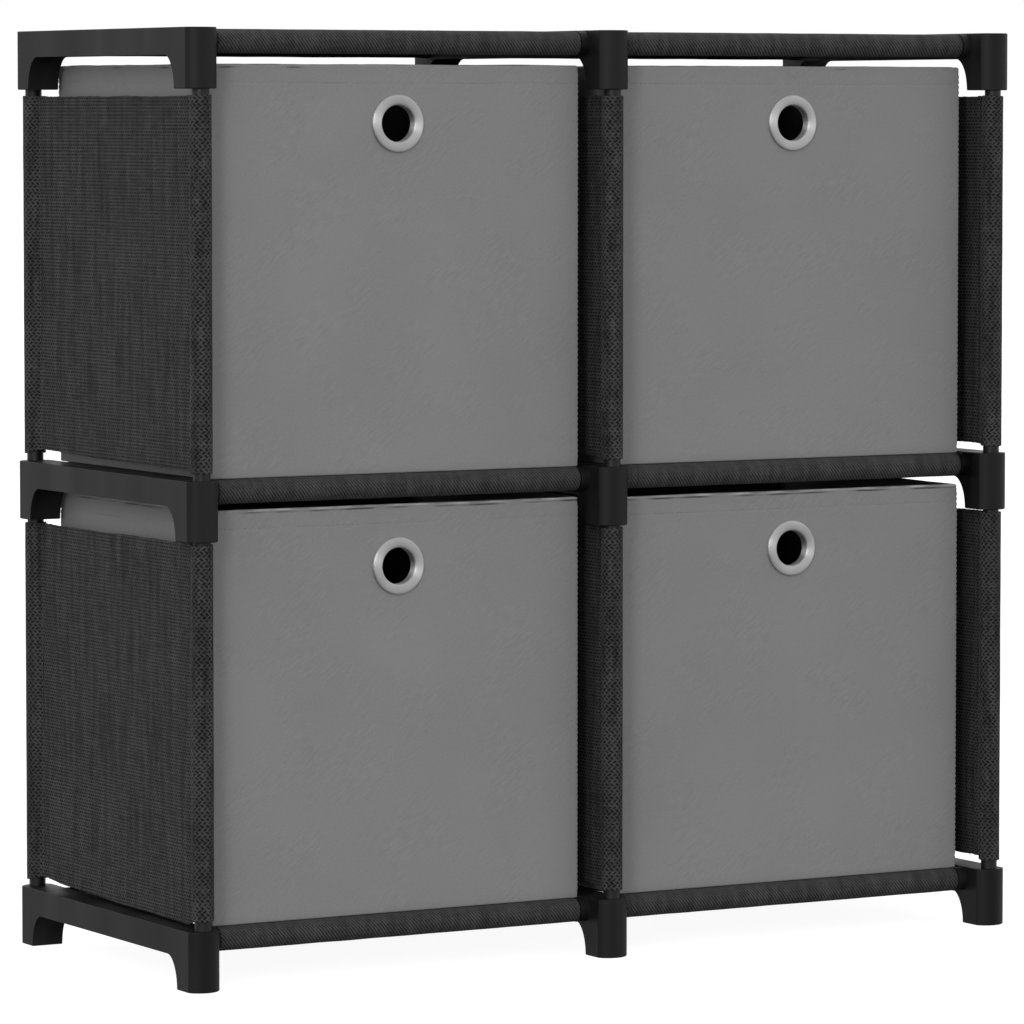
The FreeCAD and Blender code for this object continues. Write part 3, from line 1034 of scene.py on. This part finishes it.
def board_section(thickness):
    """A base board's (inset, height), from its underside's middle round its edge to its top's."""
    section = [(inset, 0.0) for inset in (*BOARD_UNDERSIDE, BOARD_EDGE)]
    section += [(0.7 * MM, 0.35 * MM), (0.0, thickness / 2), (0.7 * MM, thickness - 0.35 * MM)]
    section += [(BOARD_EDGE, thickness), (BOARD_BINDING - 0.8 * MM, thickness)]
    section += [
        (BOARD_BINDING, thickness - 0.3 * MM), (BOARD_BINDING + 0.8 * MM, thickness - 0.15 * MM)]
    return section + [(inset, thickness - BOARD_DIP) for inset in BOARD_TOP]


def base_board(bay, storey):
    """Stiff base covered in the lining's cloth, with rounded edges and a bound rim."""
    node = f"box_base_board_{bay}_{storey}"
    low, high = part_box(node)
    thickness = high.z - low.z
    seed = 200.0 + 11.0 * BAYS.index(bay) + 5.0 * STOREYS.index(storey)
    section = board_section(thickness)
    points = []
    cloth = []
    for inset, height in section:
        loop, _ = wall_loop(low, high, inset)
        for x, y in loop:
            lift = 0.08 * MM * wave(x * 30.0, y * 30.0, seed) if height > thickness / 2 else 0.0
            points.append((x, y, low.z + height + lift))
            cloth.append((x, y, seed))
    columns = len(points) // len(section)
    faces = grid_faces(len(section), columns, closed=True)
    faces.append(tuple(range(columns - 1, -1, -1)))
    faces.append(tuple(range(len(points) - columns, len(points))))
    piece = new_piece(node + "_covered", points, faces, LINING_CLOTH, cloth)
    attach(piece, f"base_board_{bay}_{storey}")
    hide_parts(node)


# CAD pieces that keep their shape -------------------------------------------

def finish_cad_nodes():
    finishes = (
        ("bracket_", PLASTIC), ("uprights_", STEEL), ("rails_", STEEL),
        ("box_wall_boards_", BOARD), ("box_eyelet_washer_", METAL))
    for name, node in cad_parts.items():
        for start, material in finishes:
            if name.startswith(start):
                for material_slot in node.material_slots:
                    material_slot.material = material


# Stage ----------------------------------------------------------------------

def floor():
    points = [(0.0, 0.0, 0.0)]
    for index in range(FLOOR_SIDES):
        angle = math.tau * index / FLOOR_SIDES
        points.append((FLOOR_RADIUS * math.cos(angle), FLOOR_RADIUS * math.sin(angle), 0.0))
    faces = [(0, 1 + index, 1 + (index + 1) % FLOOR_SIDES) for index in range(FLOOR_SIDES)]
    piece = new_piece("studio_floor", points, faces, floor_paint())
    piece.visible_diffuse = False
    piece.visible_glossy = False


def studio_world():
    """White surroundings above the horizon and dim ones below it."""
    world = bpy.data.worlds.new("studio")
    world.use_nodes = True
    tree = world.node_tree
    place = tree.nodes.new("ShaderNodeTexCoord")
    parts = tree.nodes.new("ShaderNodeSeparateXYZ")
    ramp = tree.nodes.new("ShaderNodeMapRange")
    ramp.inputs["From Min"].default_value = DIM_BELOW
    ramp.inputs["From Max"].default_value = WHITE_ABOVE
    ramp.inputs["To Min"].default_value = DIM_LIGHT
    ramp.inputs["To Max"].default_value = 1.0
    tree.links.new(place.outputs["Generated"], parts.inputs[0])
    tree.links.new(parts.outputs["Z"], ramp.inputs["Value"])
    tree.links.new(ramp.outputs["Result"], tree.nodes["Background"].inputs["Color"])
    bpy.context.scene.world = world


def soft_light(name, place, size, power):
    data = bpy.data.lights.new(name, "AREA")
    data.shape = "RECTANGLE"
    data.size, data.size_y = size
    data.energy = power
    light = bpy.data.objects.new(name, data)
    light.location = place
    aim = Vector(AIM) - Vector(place)
    light.rotation_euler = aim.to_track_quat("-Z", "Y").to_euler()
    bpy.context.scene.collection.objects.link(light)


def camera():
    data = bpy.data.cameras.new("camera")
    data.sensor_width = SENSOR_WIDTH
    data.lens = LENS
    data.shift_y = LENS_SHIFT
    data.clip_end = VIEW_DISTANCE
    eye = bpy.data.objects.new("camera", data)
    eye.location = CAMERA_AT
    eye.rotation_euler = (math.radians(90 - CAMERA_PITCH), 0.0, math.radians(-CAMERA_YAW))
    bpy.context.scene.collection.objects.link(eye)
    bpy.context.scene.camera = eye


for column in COLUMNS:
    for storey in STOREYS:
        side_panel(column, storey)
for bay in BAYS:
    for level in LEVELS:
        shelf(bay, level)
    for storey in STOREYS:
        storage_box(bay, storey)
        eyelet(bay, storey)
        base_board(bay, storey)
finish_cad_nodes()
floor()
studio_world()
for name, place, size, power in SOFTBOXES:
    soft_light(name, place, size, power)
camera()
bpy.context.scene.view_settings.view_transform = "Standard"
